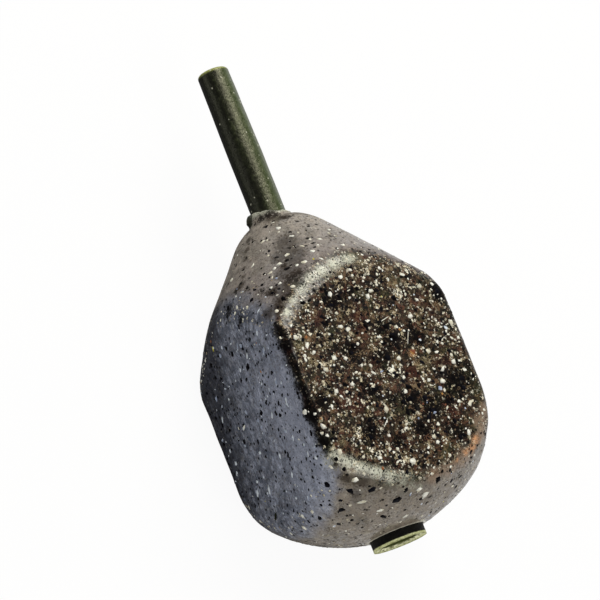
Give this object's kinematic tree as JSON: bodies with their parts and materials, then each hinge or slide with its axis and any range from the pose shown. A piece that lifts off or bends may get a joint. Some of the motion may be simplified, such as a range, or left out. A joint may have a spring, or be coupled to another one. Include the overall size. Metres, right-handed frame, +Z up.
{
  "type": "fishing sinker",
  "caption": "Inline fishing lead with four flats, a domed nose and a coned tail, a stiff tail tube for the line and a soft socket that grips a swivel.",
  "frame": {"origin": "middle of the lowest of the four flats, which the lead lies on", "axes": "+X along the line bore towards the nose and the swivel socket, +Z up, square to the flat that it rests on"},
  "size_m": [0.0534, 0.0206, 0.02],
  "materials": {
    "cast_lead": "dull cast lead",
    "speckled_coating": "glossy dark brown coating, thickly speckled with black, white and amber grit",
    "olive_tube": "smooth dark olive moulded tube with a satin sheen",
    "soft_olive": "soft dark olive sleeve with a paler, roughly cut end"
  },
  "bodies": {
    "lead": {"lead_core": "cast_lead", "coating": "speckled_coating"},
    "tube": {"tail_tube": "olive_tube"},
    "socket": {"swivel_socket": "soft_olive"}
  },
  "joints": [
    {"name": "tube_pull", "type": "slide", "parent": "lead", "child": "tube", "axis": [-1, 0, 0], "range_m": [0, 0.03]},
    {"name": "socket_pull", "type": "slide", "parent": "lead", "child": "socket", "axis": [1, 0, 0], "range_m": [0, 0.012]}
  ]
}
